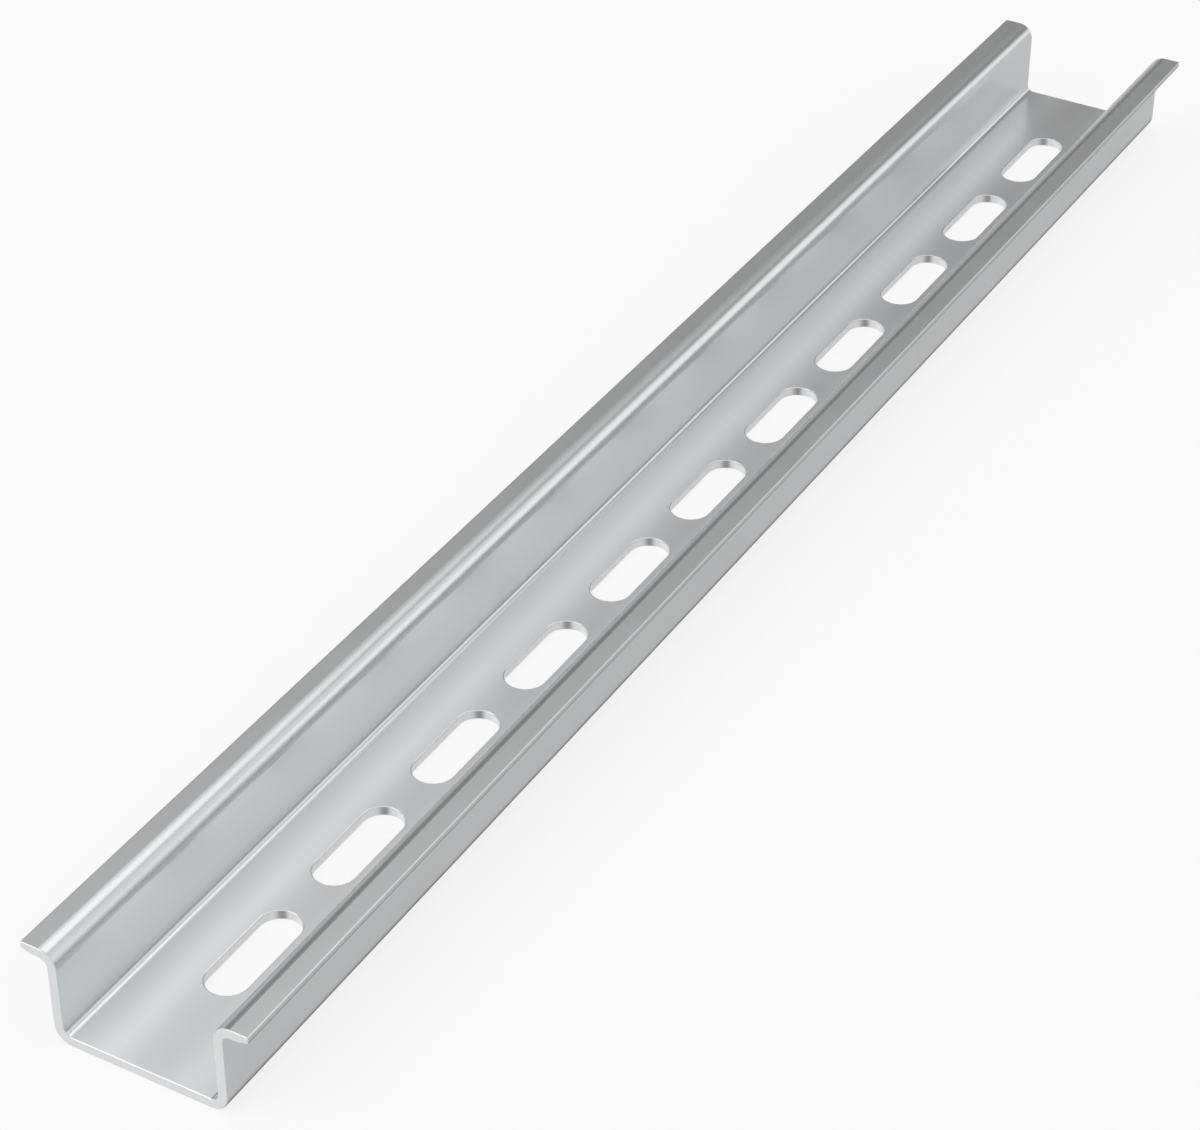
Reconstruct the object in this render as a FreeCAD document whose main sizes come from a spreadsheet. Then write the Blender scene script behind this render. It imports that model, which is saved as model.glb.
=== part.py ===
"""Slotted top-hat mounting rail, one piece of bent steel sheet. Millimetres.

The rail lies on its channel floor with the open side up: X runs along the rail, Y across it
and Z up, and the origin is on the underside of the floor, in the middle of the rail.
"""

import math
import os

import FreeCAD, Part
import Sketcher

NODE = "din_rail"
TOUCH = 1e-4

# Driving dimensions. The bends' radii are those on the inside of each bend.
SIZES = (
    ("rail_length", 300.0),
    ("rail_width", 35.0),
    ("rail_height", 15.0),
    ("sheet_thickness", 1.5),
    ("flange_overhang", 4.0),
    ("flange_bend", 1.2),
    ("floor_bend", 1.2),
    ("lip_thickness", 1.0),
    ("lip_taper", 1.6),
    ("lip_curve", 1.0),
    ("slot_length", 18.0),
    ("slot_width", 6.3),
    ("slot_land", 7.0),
    ("edge_round", 0.2),
)

# Places across the section and up it, measured from the origin
HALF_WIDTH = "sizes.rail_width / 2"
HALF_CHANNEL = "(sizes.rail_width / 2 - sizes.flange_overhang)"
HALF_INSIDE = f"({HALF_CHANNEL} - sizes.sheet_thickness)"
TAPER_START = f"({HALF_WIDTH} - sizes.lip_taper)"
UNDERSIDE = "0"
FLOOR = "sizes.sheet_thickness"
UNDER_FLANGE = "(sizes.rail_height - sizes.sheet_thickness)"
UNDER_LIP = "(sizes.rail_height - sizes.lip_thickness)"
TOP = "sizes.rail_height"

# The row of slots: whole pitches, with about a pitch from each end to the nearest slot's middle
SLOT_PITCH = "(sizes.slot_length + sizes.slot_land)"
SLOT_COUNT = f"(round(sizes.rail_length / {SLOT_PITCH}) - 1)"

doc = FreeCAD.newDocument("rail")


def make_sheet():
    sheet = doc.addObject("Spreadsheet::Sheet", "sizes")
    for row, (alias, value) in enumerate(SIZES, start=1):
        sheet.set(f"A{row}", alias)
        sheet.set(f"B{row}", str(value))
        sheet.setAlias(f"B{row}", alias)
    doc.recompute()
    return sheet


def attached_sketch(body, name, plane_role):
    """A sketch on one of the body's own origin planes."""
    plane = next(p for p in body.Origin.OriginFeatures if p.Role == plane_role)
    sketch = body.newObject("Sketcher::SketchObject", name)
    sketch.AttachmentSupport = [(plane, "")]
    sketch.MapMode = "FlatFace"
    return sketch


def bind(sketch, kind, *places, expression):
    """A driving dimension of the sketch, tied to the sheet."""
    value = sketch.evalExpression(expression)
    index = sketch.addConstraint(Sketcher.Constraint(kind, *places, value))
    sketch.setExpression(f"Constraints[{index}]", expression)


def draw_section(body):
    """The section with sharp corners: the floor, the walls and the flanges with thinned lips."""
    sketch = attached_sketch(body, "section", "YZ_Plane")
    # From the floor's outer corner, out round one flange and back down to the floor's inside
    side = (
        (HALF_CHANNEL, UNDERSIDE),
        (HALF_CHANNEL, UNDER_FLANGE),
        (TAPER_START, UNDER_FLANGE),
        (HALF_WIDTH, UNDER_LIP),
        (HALF_WIDTH, TOP),
        (HALF_INSIDE, TOP),
        (HALF_INSIDE, FLOOR),
    )
    right = [(sketch.evalExpression(y), sketch.evalExpression(z)) for y, z in side]
    left = [(-y, z) for y, z in reversed(right)]
    corners = [FreeCAD.Vector(y, z, 0) for y, z in right + left]
    following = corners[1:] + corners[:1]
    last = len(corners) - 1
    for index, (corner, target) in enumerate(zip(corners, following)):
        sketch.addGeometry(Part.LineSegment(corner, target), False)
        if abs(target.x - corner.x) < TOUCH:
            sketch.addConstraint(Sketcher.Constraint("Vertical", index))
        if abs(target.y - corner.y) < TOUCH:
            sketch.addConstraint(Sketcher.Constraint("Horizontal", index))
    for index in range(last):
        sketch.addConstraint(Sketcher.Constraint("Coincident", index, 2, index + 1, 1))
    sketch.addConstraint(Sketcher.Constraint("Coincident", last, 2, 0, 1))
    # Each corner is a line's first point, and its mirror image counts back from the last line
    origin = (-1, 1)
    for index in (0, 2, 4, 6):
        across = side[index][0]
        bind(sketch, "DistanceX", *origin, index, 1, expression=across)
        bind(sketch, "DistanceX", last - index, 1, *origin, expression=across)
    for index in (1, 3, 4):
        height = side[index][1]
        bind(sketch, "DistanceY", *origin, index, 1, expression=height)
        bind(sketch, "DistanceY", *origin, last - index, 1, expression=height)
    bind(sketch, "DistanceY", *origin, 6, 1, expression=FLOOR)
    sketch.addConstraint(Sketcher.Constraint("PointOnObject", 0, 1, -1))
    return sketch


def draw_slot(body):
    """A half-round ended slot about the sketch's origin, which lies at the first slot."""
    sketch = attached_sketch(body, "slot_outline", "XY_Plane")
    sketch.setExpression("AttachmentOffset.Base.x", f"-{SLOT_PITCH} * ({SLOT_COUNT} - 1) / 2")
    reach = sketch.evalExpression("(sizes.slot_length - sizes.slot_width) / 2")
    radius = sketch.evalExpression("sizes.slot_width / 2")
    up = FreeCAD.Vector(0, 0, 1)
    for side in (1, -1):
        circle = Part.Circle(FreeCAD.Vector(side * reach, 0, 0), up, radius)
        start = -side * math.pi / 2
        sketch.addGeometry(Part.ArcOfCircle(circle, start, start + math.pi), False)
    for side in (1, -1):
        ends = [FreeCAD.Vector(side * end * reach, side * radius, 0) for end in (1, -1)]
        sketch.addGeometry(Part.LineSegment(*ends), False)
    # Arc 0, line 2, arc 1 and line 3 follow one another round the slot
    for before, after in ((0, 2), (2, 1), (1, 3), (3, 0)):
        sketch.addConstraint(Sketcher.Constraint("Tangent", before, 2, after, 1))
    sketch.addConstraint(Sketcher.Constraint("Equal", 0, 1))
    sketch.addConstraint(Sketcher.Constraint("Symmetric", 0, 3, 1, 3, -1, 1))
    sketch.addConstraint(Sketcher.Constraint("PointOnObject", 0, 3, -1))
    bind(sketch, "Radius", 0, expression="sizes.slot_width / 2")
    bind(sketch, "DistanceX", 1, 3, 0, 3, expression="sizes.slot_length - sizes.slot_width")
    return sketch


def edges_where(shape, wanted):
    """Names of the edges whose end points all pass the test."""
    return [
        f"Edge{index}"
        for index, edge in enumerate(shape.Edges, start=1)
        if all(wanted(vertex.Point) for vertex in edge.Vertexes)
    ]


def near(value, wanted):
    return abs(value - wanted) < TOUCH


def round_edges(body, name, edges, radius):
    """A round on the named edges of what the body holds so far."""
    fillet = body.newObject("PartDesign::Fillet", name)
    fillet.Base = (fillet.BaseFeature, edges)
    fillet.setExpression("Radius", radius)
    doc.recompute()


def round_bends(body, sheet):
    """Each bend is rounded inside and outside about one axis, so the sheet keeps its thickness."""
    bends = (
        ("floor_outside", HALF_CHANNEL, UNDERSIDE, "sizes.floor_bend + sizes.sheet_thickness"),
        ("floor_inside", HALF_INSIDE, FLOOR, "sizes.floor_bend"),
        ("flange_outside", HALF_INSIDE, TOP, "sizes.flange_bend + sizes.sheet_thickness"),
        ("flange_inside", HALF_CHANNEL, UNDER_FLANGE, "sizes.flange_bend"),
        ("lip", TAPER_START, UNDER_FLANGE, "sizes.lip_curve"),
    )
    for name, across, up, radius in bends:
        half = sheet.evalExpression(across)
        height = sheet.evalExpression(up)
        corners = []
        for side in (half, -half):
            corners += edges_where(
                body.Tip.Shape, lambda p: near(p.y, side) and near(p.z, height)
            )
        round_edges(body, name, corners, radius)


def cut_slots(body, sheet):
    """The row of slots through the floor, centred on the rail's length."""
    whole = body.Tip.Shape.Volume
    outline = draw_slot(body)
    slot = body.newObject("PartDesign::Pocket", "slot")
    slot.Profile = outline
    slot.SideType = "Symmetric"
    slot.setExpression("Length", f"4 * {FLOOR}")
    doc.recompute()
    slots = body.newObject("PartDesign::LinearPattern", "slots")
    slots.Originals = [slot]
    slots.Direction = (outline, ["H_Axis"])
    slots.Mode = "Spacing"
    slots.setExpression("Offset", SLOT_PITCH)
    slots.setExpression("Occurrences", SLOT_COUNT)
    body.Tip = slots
    doc.recompute()
    punched = sheet.evalExpression(f"{SLOT_COUNT} * {FLOOR}") * Part.Face(outline.Shape).Area
    if not math.isclose(whole - body.Tip.Shape.Volume, punched, rel_tol=TOUCH):
        raise RuntimeError("the slots don't go through the floor")


def break_edges(body, sheet):
    """The small round on the cut ends, the lips' edges and the slots' rims."""
    half_length = sheet.evalExpression("sizes.rail_length / 2")
    half_width = sheet.evalExpression(HALF_WIDTH)
    half_slot = sheet.evalExpression("sizes.slot_width / 2")
    shape = body.Tip.Shape
    edges = edges_where(shape, lambda p: near(abs(p.x), half_length))
    edges += edges_where(shape, lambda p: near(abs(p.y), half_width))
    for face in (UNDERSIDE, FLOOR):
        height = sheet.evalExpression(face)
        edges += edges_where(shape, lambda p: abs(p.y) < half_slot + TOUCH and near(p.z, height))
    round_edges(body, "edge_rounds", sorted(set(edges)), "sizes.edge_round")


def make_rail(sheet):
    body = doc.addObject("PartDesign::Body", NODE)
    body.Label = NODE
    section = draw_section(body)
    doc.recompute()
    strip = body.newObject("PartDesign::Pad", "strip")
    strip.Profile = section
    strip.SideType = "Symmetric"
    strip.setExpression("Length", "sizes.rail_length")
    doc.recompute()
    round_bends(body, sheet)
    cut_slots(body, sheet)
    break_edges(body, sheet)
    body.Placement = FreeCAD.Placement()
    return body


def check(rail):
    """Every feature has built, and the rail is one valid solid."""
    for item in doc.Objects:
        if "Invalid" in item.State or "Error" in item.State:
            raise RuntimeError(f"{item.Label} has failed: {item.State}")
    if rail.Shape.isNull() or not rail.Shape.isValid() or len(rail.Shape.Solids) != 1:
        raise RuntimeError(f"{rail.Label} is not one valid solid")


rail = make_rail(make_sheet())
doc.recompute()
check(rail)
os.makedirs("parts", exist_ok=True)
rail.Shape.exportStep(f"parts/{rail.Label}.step")
print(f"{rail.Label}: volume {rail.Shape.Volume / 1000:.3f} cm3, {len(rail.Shape.Faces)} faces")
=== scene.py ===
"""Looks of the slotted mounting rail: zinc-plated sheet steel on a white studio floor. Metres."""

import math

import bpy
from mathutils import Matrix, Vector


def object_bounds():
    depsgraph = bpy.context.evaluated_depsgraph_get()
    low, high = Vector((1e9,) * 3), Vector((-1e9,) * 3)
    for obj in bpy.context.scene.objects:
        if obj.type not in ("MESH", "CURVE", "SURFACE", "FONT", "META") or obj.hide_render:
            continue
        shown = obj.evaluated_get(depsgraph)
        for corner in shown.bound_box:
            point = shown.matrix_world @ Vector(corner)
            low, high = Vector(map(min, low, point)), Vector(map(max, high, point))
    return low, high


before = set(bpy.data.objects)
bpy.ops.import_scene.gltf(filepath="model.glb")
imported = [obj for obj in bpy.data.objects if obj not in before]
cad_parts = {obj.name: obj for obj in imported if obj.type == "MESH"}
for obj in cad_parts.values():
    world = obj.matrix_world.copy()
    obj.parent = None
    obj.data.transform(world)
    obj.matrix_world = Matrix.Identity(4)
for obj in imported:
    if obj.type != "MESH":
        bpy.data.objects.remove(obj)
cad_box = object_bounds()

NODE = "din_rail"

# The rail lies about the origin, so the far corner of its box gives its half sizes and its height
HALF_LENGTH, HALF_WIDTH, HEIGHT = cad_box[1]
SLOT_LENGTH = 0.018
SLOT_WIDTH = 0.0063
SLOT_PITCH = 0.025
SLOT_RADIUS = SLOT_WIDTH / 2
SLOT_REACH = SLOT_LENGTH / 2 - SLOT_RADIUS

# The camera: a long lens that looks down along the rail from its near end
CAMERA_PLACE = (-0.38373, -0.20173, 0.29646)
CAMERA_HEADING = math.radians(29.99)
CAMERA_DOWN = math.radians(35.56)
CAMERA_ROLL = math.radians(0.10)
CLIP_START = 0.01
CLIP_END = 50
LENS = 99.5
SENSOR = 36.0

# A named pair is a soft step or a soft band, from its first number to its second.
# Zinc plating: a neutral grey with clouds of a cooler one, which is stronger on the channel's walls
# and beside them
ZINC_NEUTRAL = (0.730, 0.732, 0.740, 1)
ZINC_COOL = (0.713, 0.735, 0.740, 1)
COOL_SIDE = (0.0062, 0.0084)
COOL_SHARE = 0.5
METALLIC = 0.84
CLOUD_SIZE = 0.014
CLOUD_SWING = 0.03
STREAK_SWING = 0.006

# The inside of the channel: painted light on its walls and more on its floor, and a painted highlight
# along each side of that floor
CHANNEL_SIDE = (0.0129, 0.0122)
CHANNEL_BOTTOM = 0.0007
CHANNEL_WALL_PAINTED_LIGHT = 1.06
CHANNEL_FLOOR_PAINTED_LIGHT = 1.19
CHANNEL_FLOOR_FACE = (0.92, 1.0)
FLOOR_PAINTED_HIGHLIGHT_SIDE = (0.0018, 0.0124)
FLOOR_PAINTED_HIGHLIGHT_HEIGHT = (0.0005, 0.0025)
FLOOR_PAINTED_HIGHLIGHT_LIFT = 0.145

# Roughness of the plating, which is smoother on the bends
ZINC_ROUGHNESS = 0.30
BEND_ROUGHNESS = 0.18
BEND_SLOPE = (0.02, 0.20)
BEND_UP = (0.30, 0.60)
CLOUD_ROUGHNESS = 0.025
STREAK_ROUGHNESS = 0.008

# Relief of the plating: fine streaks along the rail and slow waves
STREAK_SIZE = 0.0020
STREAK_STRETCH = (60, 1, 1)
STREAK_HEIGHT = 0.0000003
WAVE_SIZE = 0.030
WAVE_HEIGHT = 0.000004

# The rail's ends, which face along it, and the slots' walls, which don't face up: the sheet was cut there
CUT_COLOUR = (0.848, 0.853, 0.860)
CUT_METALLIC = 0.25
CUT_ROUGHNESS = 0.42
END_DEPTH = 0.0005
END_FACE = (0.5, 0.8)
SLOT_MARGIN = 0.0001
SLOT_FACE = (0.8, 0.5)
SHEAR_SIZE = 0.00022
SHEAR_STRETCH = (1, 1, 12)
SHEAR_HEIGHT = 0.000004
SHEAR_SWING = 0.10

# A painted dark reflection and a painted highlight on the slots' round ends, counted from -1 at one side
# of the slot to 1 at the other
SLOT_DARK_REFLECTION_BAND = (0.12, 0.80)
SLOT_PAINTED_REFLECTION_DARKENING = 0.62
SLOT_HIGHLIGHT_BAND = (-1.0, 0.2)
SLOT_PAINTED_HIGHLIGHT_LIFT = 0.15

# Painted shade on the lips' slit edges: on their outer faces, and darker along their lower side
LIP_DEPTH = 0.0003
SHADED_LIP_FACE = (0.5, 0.1)
LIP_FACE_PAINTED_SHADE = 0.13
LIP_SHADE_DEPTH = (0.00055, 0.00080)
LIP_EDGE_PAINTED_SHADE = 0.34

# Painted shade on the outside of the bends at the bottom, which also dulls their reflection
BOTTOM_SHADE_SIDE = 0.0105
BOTTOM_SHADE_TOP = 0.0027
BOTTOM_SHADE_FACE = (0.0, -0.40)
UNDERSIDE = (-0.98, -0.80)
BOTTOM_PAINTED_SHADE = 0.53
BOTTOM_PAINTED_SHADE_TINT = 0.58

# The studio's light in the dim sector ahead and all round it: the height of a direction, from 0 at the
# horizon to 1 overhead, and the strength there
SKY_FULL = 2.6
SECTOR_HEADING = math.radians(15.5)
SECTOR_EDGE = (math.cos(math.radians(48.5)), math.cos(math.radians(34.5)))
SKY_SECTOR = (
    (0.0, 0.62),
    (0.16, 0.56),
    (0.32, 0.24),
    (0.45, 0.19),
    (0.52, 0.28),
    (0.62, 0.49),
    (0.70, 0.72),
    (0.79, 1.60),
    (0.85, 1.85),
    (0.93, 1.05),
    (1.0, 1.0),
)
SKY_ROUND = ((0.0, 0.66), (0.26, 1.16), (0.5, 1.12), (0.71, 0.99), (0.87, 0.86), (1.0, 1.0))

# A dark card that hangs along the rail: its angles about the rail's axis, and its depth
CARD = (math.radians(28), math.radians(60))
CARD_DEPTH = 0.45

# Softboxes: name, heading, elevation, distance, width, height and power
LAMPS = (
    ("lamp_side", -38, 18, 0.7, 0.42, 0.30, 0.09),
    ("lamp_back", 145, 45, 0.8, 0.40, 0.30, 0.87),
)

# The floor: white to the camera and grey in reflections, but for a white strip of painted light below the
# slots
FLOOR_SIZE = 8.0
FLOOR_COLOUR = (0.96, 0.96, 0.96, 1)
FLOOR_GLOW = 0.8
GLOW_SEEN = (1.0, 1.0, 1.0, 1)
GLOW_REFLECTED = (0.62, 0.62, 0.62, 1)
STRIP_FADE = 0.005
STRIP_ALONG = (HALF_LENGTH, HALF_LENGTH - STRIP_FADE)
STRIP_SIDE = (0.0075, 0.0045)

scene = bpy.context.scene


class Nodes:
    """Short helpers for one node tree."""

    def __init__(self, tree):
        self.tree = tree
        tree.nodes.clear()

    def add(self, kind, inputs=None, **values):
        """A node with its settings, and its inputs as numbers, colours or another node's outputs."""
        node = self.tree.nodes.new(kind)
        for name, value in values.items():
            setattr(node, name, value)
        for name, value in (inputs or {}).items():
            if isinstance(value, bpy.types.NodeSocket):
                self.tree.links.new(value, node.inputs[name])
            elif value is not None:
                node.inputs[name].default_value = value
        return node

    def math(self, operation, first, second=None, third=None):
        inputs = {0: first, 1: second, 2: third}
        return self.add("ShaderNodeMath", inputs, operation=operation).outputs[0]

    def absolute(self, value):
        return self.math("ABSOLUTE", value)

    def total(self, *values):
        result = values[0]
        for value in values[1:]:
            result = self.math("ADD", result, value)
        return result

    def product(self, *values):
        result = values[0]
        for value in values[1:]:
            result = self.math("MULTIPLY", result, value)
        return result

    def vector(self, operation, first, second=None, scale=None):
        inputs = {0: first, 1: second, "Scale": scale}
        return self.add("ShaderNodeVectorMath", inputs, operation=operation).outputs[0]

    def split(self, vector):
        return self.add("ShaderNodeSeparateXYZ", {0: vector}).outputs

    def step(self, value, start, end):
        """Goes softly from 0 at the start to 1 at the end."""
        inputs = {"Value": value, "From Min": start, "From Max": end}
        return self.add("ShaderNodeMapRange", inputs, interpolation_type="SMOOTHSTEP").outputs[0]

    def band(self, value, start, end):
        """1 in the middle of the range, and softly 0 at its ends and past them."""
        middle = (start + end) / 2
        reach = self.absolute(self.math("SUBTRACT", value, middle))
        return self.step(reach, (end - start) / 2, 0)

    def noise(self, place, size, stretch=(1, 1, 1), detail=2):
        """Soft random patches of the given size, drawn out along an axis by its stretch."""
        scaled = self.vector("MULTIPLY", place, [1 / (size * factor) for factor in stretch])
        inputs = {"Vector": scaled, "Scale": 1.0, "Detail": detail, "Roughness": 0.5}
        return self.add("ShaderNodeTexNoise", inputs).outputs[0]

    def swing(self, value, reach):
        """A number from 0 to 1 turned into one from -reach to reach."""
        return self.product(self.math("SUBTRACT", value, 0.5), 2 * reach)

    def mix(self, factor, first, second):
        """A colour between the first and the second, which are the node's inputs 6 and 7."""
        inputs = {0: factor, 6: first, 7: second}
        return self.add("ShaderNodeMix", inputs, data_type="RGBA").outputs[2]

    def blend(self, factor, first, second):
        """A number between the first and the second, which are the node's inputs 2 and 3."""
        inputs = {0: factor, 2: first, 3: second}
        return self.add("ShaderNodeMix", inputs, data_type="FLOAT").outputs[0]


def make_camera():
    data = bpy.data.cameras.new("camera")
    data.sensor_width = SENSOR
    data.lens = LENS
    data.clip_start = CLIP_START
    data.clip_end = CLIP_END
    camera = bpy.data.objects.new("camera", data)
    turn = Matrix.Rotation(CAMERA_HEADING - math.pi / 2, 4, "Z")
    tilt = Matrix.Rotation(math.pi / 2 - CAMERA_DOWN, 4, "X")
    roll = Matrix.Rotation(CAMERA_ROLL, 4, "Z")
    camera.matrix_world = Matrix.Translation(CAMERA_PLACE) @ turn @ tilt @ roll
    scene.collection.objects.link(camera)
    scene.camera = camera


def sky_ramp(nodes, height, stops):
    """The light's strength over the height of the direction, as a share of the full strength."""
    ramp = nodes.add("ShaderNodeValToRGB", {0: height})
    elements = ramp.color_ramp.elements
    for place, _ in stops[1:-1]:
        elements.new(place)
    for element, (_, strength) in zip(elements, stops):
        level = strength / SKY_FULL
        element.color = (level, level, level, 1)
    return ramp.outputs[0]


def sector_mask(nodes, direction):
    """1 in the directions ahead of the camera, whatever their height."""
    heading = nodes.vector("NORMALIZE", nodes.vector("MULTIPLY", direction, (1, 1, 0)))
    ahead = (math.cos(SECTOR_HEADING), math.sin(SECTOR_HEADING), 0)
    toward = nodes.add("ShaderNodeVectorMath", {0: heading, 1: ahead}, operation="DOT_PRODUCT")
    return nodes.step(toward.outputs["Value"], *SECTOR_EDGE)


def make_world():
    """A pale studio that is dim ahead of the camera, with a dark card along the rail."""
    world = bpy.data.worlds.new("studio")
    world.use_nodes = True
    nodes = Nodes(world.node_tree)
    direction = nodes.add("ShaderNodeTexCoord").outputs["Generated"]
    _, side, height = nodes.split(direction)
    around = sky_ramp(nodes, height, SKY_ROUND)
    ahead = sky_ramp(nodes, height, SKY_SECTOR)
    level = nodes.blend(sector_mask(nodes, direction), around, ahead)
    card = nodes.band(nodes.math("ARCTAN2", height, side), *CARD)
    past_card = nodes.math("MULTIPLY_ADD", card, -CARD_DEPTH, 1.0)
    light = nodes.add("ShaderNodeBackground", {"Strength": nodes.product(level, past_card, SKY_FULL)})
    nodes.add("ShaderNodeOutputWorld", {0: light.outputs[0]})
    scene.world = world


def floor_material():
    """White to the camera and grey in reflections, but for the painted light of the strip. It keeps the
    rail's shadow.
    """
    material = bpy.data.materials.new("floor")
    material.use_nodes = True
    nodes = Nodes(material.node_tree)
    path = nodes.add("ShaderNodeLightPath").outputs
    reflected = nodes.math("MAXIMUM", path["Is Glossy Ray"], path["Is Transmission Ray"])
    seen = nodes.math("MAXIMUM", path["Is Camera Ray"], reflected)
    along, across, _ = nodes.split(nodes.add("ShaderNodeTexCoord").outputs["Object"])
    # The strip below the slots is painted light: white in reflections, where the rail shades the floor
    below_rail = nodes.step(nodes.absolute(along), *STRIP_ALONG)
    strip = nodes.product(below_rail, nodes.step(nodes.absolute(across), *STRIP_SIDE))
    reflection = nodes.mix(strip, GLOW_REFLECTED, GLOW_SEEN)
    matte = nodes.add("ShaderNodeBsdfDiffuse", {"Color": FLOOR_COLOUR})
    glow = nodes.add("ShaderNodeEmission", {"Color": nodes.mix(reflected, GLOW_SEEN, reflection)})
    share = nodes.product(seen, FLOOR_GLOW)
    surface = nodes.add("ShaderNodeMixShader", {0: share, 1: matte.outputs[0], 2: glow.outputs[0]})
    nodes.add("ShaderNodeOutputMaterial", {0: surface.outputs[0]})
    return material


def make_floor():
    mesh = bpy.data.meshes.new("floor")
    side = FLOOR_SIZE / 2
    corners = [(-side, -side, 0), (side, -side, 0), (side, side, 0), (-side, side, 0)]
    mesh.from_pydata(corners, [], [(0, 1, 2, 3)])
    floor = bpy.data.objects.new("floor", mesh)
    scene.collection.objects.link(floor)
    mesh.materials.append(floor_material())


def softbox(name, heading, elevation, distance, width, height, power):
    """A soft lamp in the given direction, aimed at the rail."""
    data = bpy.data.lights.new(name, "AREA")
    data.shape = "RECTANGLE"
    data.size = width
    data.size_y = height
    data.energy = power
    lamp = bpy.data.objects.new(name, data)
    turn = Matrix.Rotation(math.radians(heading - 90), 4, "Z")
    tilt = Matrix.Rotation(math.radians(90 + elevation), 4, "X")
    away = Matrix.Translation((0, 0, -distance))
    back = Matrix.Rotation(math.pi, 4, "X")
    lamp.matrix_world = turn @ tilt @ away @ back
    scene.collection.objects.link(lamp)


def channel_mask(nodes, place):
    """1 on the surfaces inside the channel."""
    _, across, up = nodes.split(place)
    inside = nodes.step(nodes.absolute(across), *CHANNEL_SIDE)
    return nodes.product(inside, nodes.math("GREATER_THAN", up, CHANNEL_BOTTOM))


def cut_mask(nodes, place, normal):
    """1 on the rail's ends and on the walls of its slots."""
    along, across, _ = nodes.split(place)
    facing_end, _, facing_up = nodes.split(normal)
    at_end = nodes.math("GREATER_THAN", nodes.absolute(along), HALF_LENGTH - END_DEPTH)
    end = nodes.product(at_end, nodes.step(nodes.absolute(facing_end), *END_FACE))
    in_slot = nodes.math("LESS_THAN", nodes.absolute(across), SLOT_RADIUS + SLOT_MARGIN)
    wall = nodes.product(in_slot, nodes.step(nodes.absolute(facing_up), *SLOT_FACE))
    return nodes.math("MAXIMUM", end, wall)


def bend_mask(nodes, normal):
    """1 on the bends, which the rolls have made smoother than the flat sheet."""
    _, facing_side, facing_up = nodes.split(normal)
    facing_up = nodes.absolute(facing_up)
    slope = nodes.product(nodes.absolute(facing_side), facing_up)
    return nodes.product(nodes.step(slope, *BEND_SLOPE), nodes.step(facing_up, *BEND_UP))


def bottom_shade_mask(nodes, place, normal):
    """1 on the outside of the bends at the bottom, where shade is painted."""
    _, across, up = nodes.split(place)
    facing_up = nodes.split(normal)["Z"]
    at_side = nodes.math("GREATER_THAN", nodes.absolute(across), BOTTOM_SHADE_SIDE)
    at_bottom = nodes.math("LESS_THAN", up, BOTTOM_SHADE_TOP)
    outward = nodes.step(facing_up, *BOTTOM_SHADE_FACE)
    return nodes.product(at_side, at_bottom, outward, nodes.step(facing_up, *UNDERSIDE))


def channel_painted_light(nodes, channel, normal):
    """Painted light inside the channel: a little on its walls and more on its floor."""
    on_floor = nodes.step(nodes.split(normal)["Z"], *CHANNEL_FLOOR_FACE)
    inside = nodes.blend(on_floor, CHANNEL_WALL_PAINTED_LIGHT, CHANNEL_FLOOR_PAINTED_LIGHT)
    return nodes.blend(channel, 1.0, inside)


def painted_floor_highlight(nodes, place):
    """A painted highlight along each side of the channel's floor."""
    _, across, up = nodes.split(place)
    highlight_band = nodes.band(nodes.absolute(across), *FLOOR_PAINTED_HIGHLIGHT_SIDE)
    return nodes.product(highlight_band, nodes.band(up, *FLOOR_PAINTED_HIGHLIGHT_HEIGHT), FLOOR_PAINTED_HIGHLIGHT_LIFT)


def lip_painted_shade(nodes, place, normal):
    """Painted shade along the lips' slit edges: on their outer faces, and darker along their lower side.
    """
    _, across, up = nodes.split(place)
    facing_up = nodes.split(normal)["Z"]
    face_shade = nodes.product(nodes.step(facing_up, *SHADED_LIP_FACE), -LIP_FACE_PAINTED_SHADE)
    depth = nodes.math("SUBTRACT", HEIGHT, up)
    edge_shade = nodes.product(nodes.step(depth, *LIP_SHADE_DEPTH), -LIP_EDGE_PAINTED_SHADE)
    at_lip = nodes.math("GREATER_THAN", nodes.absolute(across), HALF_WIDTH - LIP_DEPTH)
    return nodes.product(nodes.total(face_shade, edge_shade), at_lip)


def plating_colour(nodes, place, normal, clouds, streaks, bottom_shade):
    """Zinc grey, cooler at the channel's walls, with the tones of its clouds and streaks, and painted
    light and shade in the channel, on its floor, at the lips and on the bottom bends.
    """
    channel = channel_mask(nodes, place)
    across = nodes.absolute(nodes.split(place)["Y"])
    beside_wall = nodes.product(channel, nodes.step(across, *COOL_SIDE))
    cool = nodes.product(nodes.total(clouds, beside_wall), COOL_SHARE)
    tone = nodes.total(
        channel_painted_light(nodes, channel, normal),
        nodes.swing(clouds, CLOUD_SWING),
        nodes.swing(streaks, STREAK_SWING),
        painted_floor_highlight(nodes, place),
        lip_painted_shade(nodes, place, normal),
        nodes.product(bottom_shade, -BOTTOM_PAINTED_SHADE),
    )
    return nodes.vector("SCALE", nodes.mix(cool, ZINC_NEUTRAL, ZINC_COOL), scale=tone)


def slot_place(nodes, place):
    """The place about the middle of the nearest slot, since one punch cuts them all alike and each gets
    the same painted light.
    """
    along, across, up = nodes.split(place)
    local = nodes.math("WRAP", along, SLOT_PITCH / 2, -SLOT_PITCH / 2)
    return nodes.add("ShaderNodeCombineXYZ", {0: local, 1: across, 2: up}).outputs[0]


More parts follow.
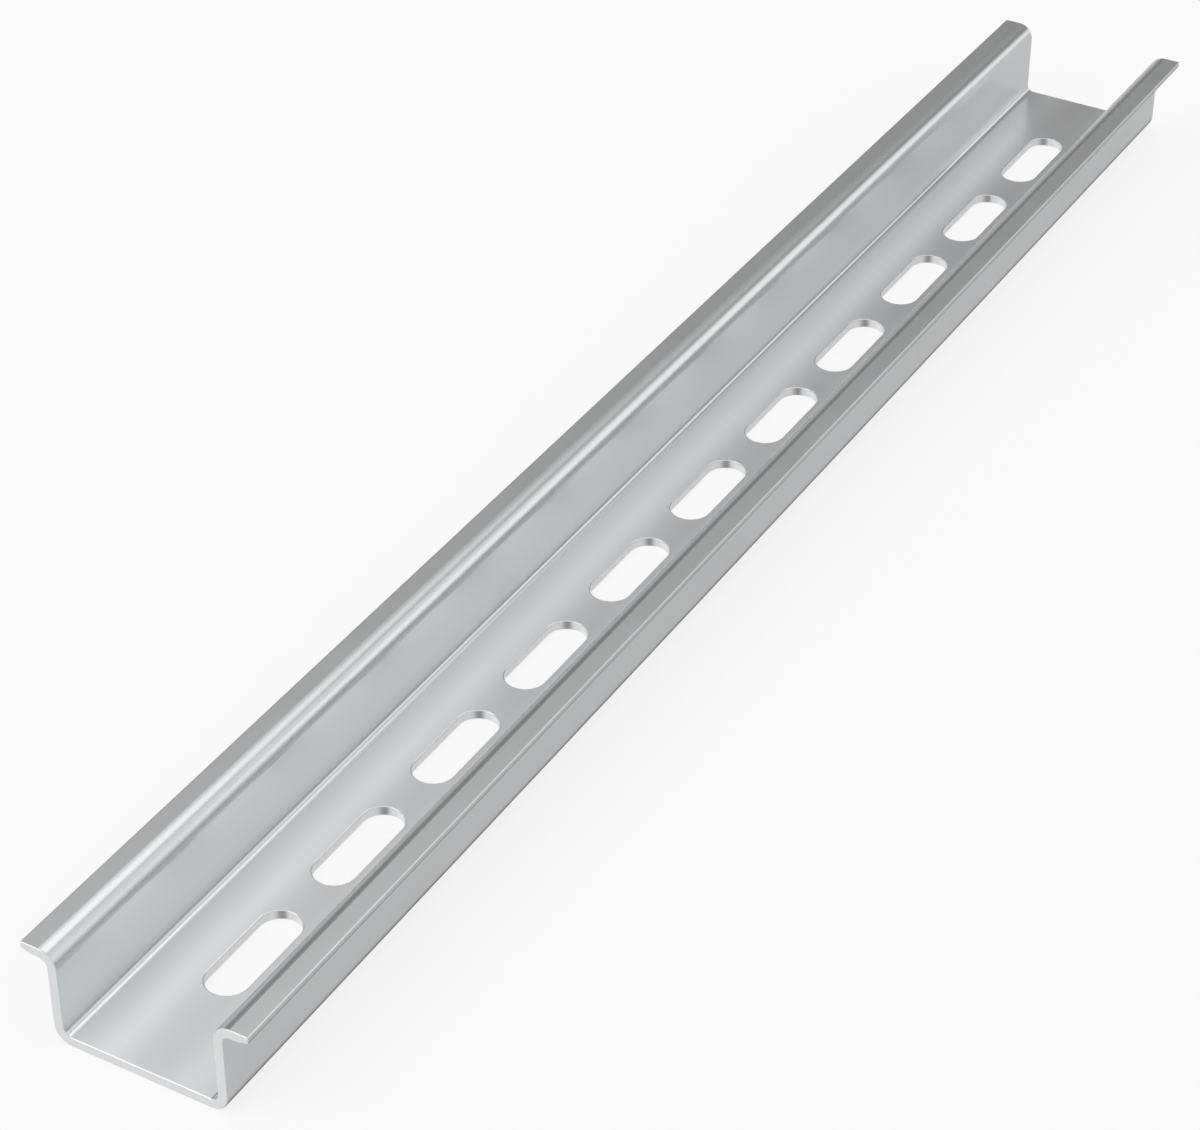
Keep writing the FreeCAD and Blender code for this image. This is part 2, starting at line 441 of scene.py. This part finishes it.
def slot_painted_light(nodes, local):
    """The brightness of a slot's wall: a painted highlight and a painted dark reflection on each round
    end.
    """
    along, across, _ = nodes.split(local)
    turn = nodes.product(across, nodes.math("SIGN", along))
    turn = nodes.math("DIVIDE", turn, SLOT_RADIUS)
    round_end = nodes.math("GREATER_THAN", nodes.absolute(along), SLOT_REACH)
    dark_band = nodes.product(nodes.band(turn, *SLOT_DARK_REFLECTION_BAND), -SLOT_PAINTED_REFLECTION_DARKENING)
    bright_band = nodes.product(nodes.band(turn, *SLOT_HIGHLIGHT_BAND), SLOT_PAINTED_HIGHLIGHT_LIFT)
    return nodes.math("MULTIPLY_ADD", nodes.total(dark_band, bright_band), round_end, 1.0)


def cut_colour(nodes, local, shear):
    """Bare steel with the fine lines of the cut, and a painted highlight and painted dark reflection on
    the slots' round ends.
    """
    tone = nodes.total(slot_painted_light(nodes, local), nodes.swing(shear, SHEAR_SWING))
    return nodes.vector("SCALE", CUT_COLOUR, scale=tone)


def surface_roughness(nodes, cut, bend, clouds, streaks):
    """A little cloudy and streaky, smoother on the bends and rougher where the sheet was cut."""
    plating = nodes.blend(bend, ZINC_ROUGHNESS, BEND_ROUGHNESS)
    cloudy = nodes.swing(clouds, CLOUD_ROUGHNESS)
    streaky = nodes.swing(streaks, STREAK_ROUGHNESS)
    return nodes.total(nodes.blend(cut, plating, CUT_ROUGHNESS), cloudy, streaky)


def surface_relief(nodes, place, cut, bend, streaks, shear):
    """Waves and streaks in the plating, without the streaks on its bends, and the lines of the cut."""
    streak_height = nodes.math("MULTIPLY_ADD", bend, -STREAK_HEIGHT, STREAK_HEIGHT)
    rolled = nodes.product(streaks, streak_height)
    waves = nodes.noise(place, WAVE_SIZE)
    plating = nodes.math("MULTIPLY_ADD", waves, WAVE_HEIGHT, rolled)
    height = nodes.blend(cut, plating, nodes.product(shear, SHEAR_HEIGHT))
    bump = nodes.add("ShaderNodeBump", {"Height": height, "Distance": 1.0, "Strength": 1.0})
    return bump.outputs[0]


def zinc_material():
    """Zinc-plated steel sheet, with bare steel where it was cut."""
    material = bpy.data.materials.new("zinc_plated_sheet")
    material.use_nodes = True
    nodes = Nodes(material.node_tree)
    source = nodes.add("ShaderNodeTexCoord").outputs
    place = source["Object"]
    normal = source["Normal"]
    local = slot_place(nodes, place)
    cut = cut_mask(nodes, place, normal)
    bend = bend_mask(nodes, normal)
    bottom_shade = bottom_shade_mask(nodes, place, normal)
    clouds = nodes.noise(place, CLOUD_SIZE)
    streaks = nodes.noise(place, STREAK_SIZE, STREAK_STRETCH, detail=1)
    shear = nodes.noise(local, SHEAR_SIZE, SHEAR_STRETCH)
    zinc = plating_colour(nodes, place, normal, clouds, streaks, bottom_shade)
    steel = cut_colour(nodes, local, shear)
    metal = nodes.add("ShaderNodeBsdfPrincipled", {
        "Base Color": nodes.mix(cut, zinc, steel),
        "Metallic": nodes.blend(cut, METALLIC, CUT_METALLIC),
        "Roughness": surface_roughness(nodes, cut, bend, clouds, streaks),
        # Specular Tint lowered on the bottom bends: painted shade in their reflection
        "Specular Tint": nodes.math("MULTIPLY_ADD", bottom_shade, -BOTTOM_PAINTED_SHADE_TINT, 1.0),
        "Normal": surface_relief(nodes, place, cut, bend, streaks, shear),
    })
    nodes.add("ShaderNodeOutputMaterial", {0: metal.outputs[0]})
    return material


def dress_rail():
    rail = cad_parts[NODE]
    rail.data.materials.clear()
    rail.data.materials.append(zinc_material())


make_camera()
make_world()
make_floor()
for lamp in LAMPS:
    softbox(*lamp)
dress_rail()
scene.view_settings.view_transform = "Standard"
